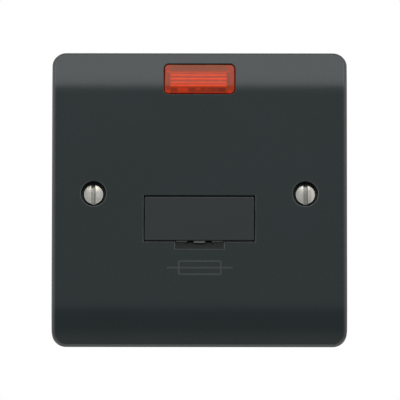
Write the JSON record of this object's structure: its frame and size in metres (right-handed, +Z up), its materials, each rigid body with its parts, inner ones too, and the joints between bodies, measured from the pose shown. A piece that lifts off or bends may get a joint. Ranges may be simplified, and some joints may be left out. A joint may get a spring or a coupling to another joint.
{
  "type": "fused spur unit",
  "caption": "One-gang fused connection unit: moulded plate with pull-out fuse carrier, neon window, slotted fixing screws and rear tunnel terminals.",
  "frame": {"origin": "midway between the two fixing screws, on the wall plane that the plate's rear rim touches", "axes": "+X to the right and +Z up as seen on the wall, +Y into the wall"},
  "size_m": [0.084, 0.029, 0.084],
  "materials": {
    "plate": "fine satin moulded, anthracite",
    "lens": "clear red polycarbonate, polished",
    "ceramic": "unglazed steatite ceramic",
    "nickel": "nickel plated brass, satin",
    "inner_moulding": "black moulded thermoset",
    "base": "white moulded thermoset",
    "brass": "machined and blanked brass, satin",
    "screw_steel": "nickel plated steel, lightly polished",
    "lamp_glass": "clear thin glass",
    "resistor_body": "tan lacquer with plain colour bands",
    "tinned_wire": "tinned copper wire"
  },
  "bodies": {
    "housing": {"front_plate": "plate", "neon_lens": "lens", "fuse_chamber": "inner_moulding", "rear_base": "base", "supply_fuse_contact": "brass", "load_fuse_contact": "brass", "neutral_bar": "brass", "earth_bar": "brass", "neon_lamp": "lamp_glass", "neon_electrodes": "nickel", "neon_resistor": "resistor_body", "lamp_resistor_lead": "tinned_wire", "neutral_lead": "tinned_wire", "load_lead": "tinned_wire", "fixing_screws": "screw_steel", "assembly_screws": "screw_steel", "neutral_in_terminal": "brass", "live_in_terminal": "brass", "earth_in_terminal": "brass", "neutral_out_terminal": "brass", "live_out_terminal": "brass", "earth_out_terminal": "brass"},
    "carrier": {"fuse_carrier": "plate", "fuse_tube": "ceramic", "fuse_cap_left": "nickel", "fuse_cap_right": "nickel"},
    "neutral_in_clamp": {"neutral_in_screw": "screw_steel"},
    "live_in_clamp": {"live_in_screw": "screw_steel"},
    "earth_in_clamp": {"earth_in_screw": "screw_steel"},
    "neutral_out_clamp": {"neutral_out_screw": "screw_steel"},
    "live_out_clamp": {"live_out_screw": "screw_steel"},
    "earth_out_clamp": {"earth_out_screw": "screw_steel"}
  },
  "joints": [
    {"name": "carrier_slide", "type": "slide", "parent": "housing", "child": "carrier", "axis": [0, -1, 0], "range_m": [0, 0.011]},
    {"name": "neutral_in_clamping", "type": "slide", "parent": "housing", "child": "neutral_in_clamp", "axis": [0, -1, 0], "range_m": [0, 0.0034]},
    {"name": "live_in_clamping", "type": "slide", "parent": "housing", "child": "live_in_clamp", "axis": [0, -1, 0], "range_m": [0, 0.0034]},
    {"name": "earth_in_clamping", "type": "slide", "parent": "housing", "child": "earth_in_clamp", "axis": [0, -1, 0], "range_m": [0, 0.0034]},
    {"name": "neutral_out_clamping", "type": "slide", "parent": "housing", "child": "neutral_out_clamp", "axis": [0, -1, 0], "range_m": [0, 0.0034]},
    {"name": "live_out_clamping", "type": "slide", "parent": "housing", "child": "live_out_clamp", "axis": [0, -1, 0], "range_m": [0, 0.0034]},
    {"name": "earth_out_clamping", "type": "slide", "parent": "housing", "child": "earth_out_clamp", "axis": [0, -1, 0], "range_m": [0, 0.0034]}
  ]
}
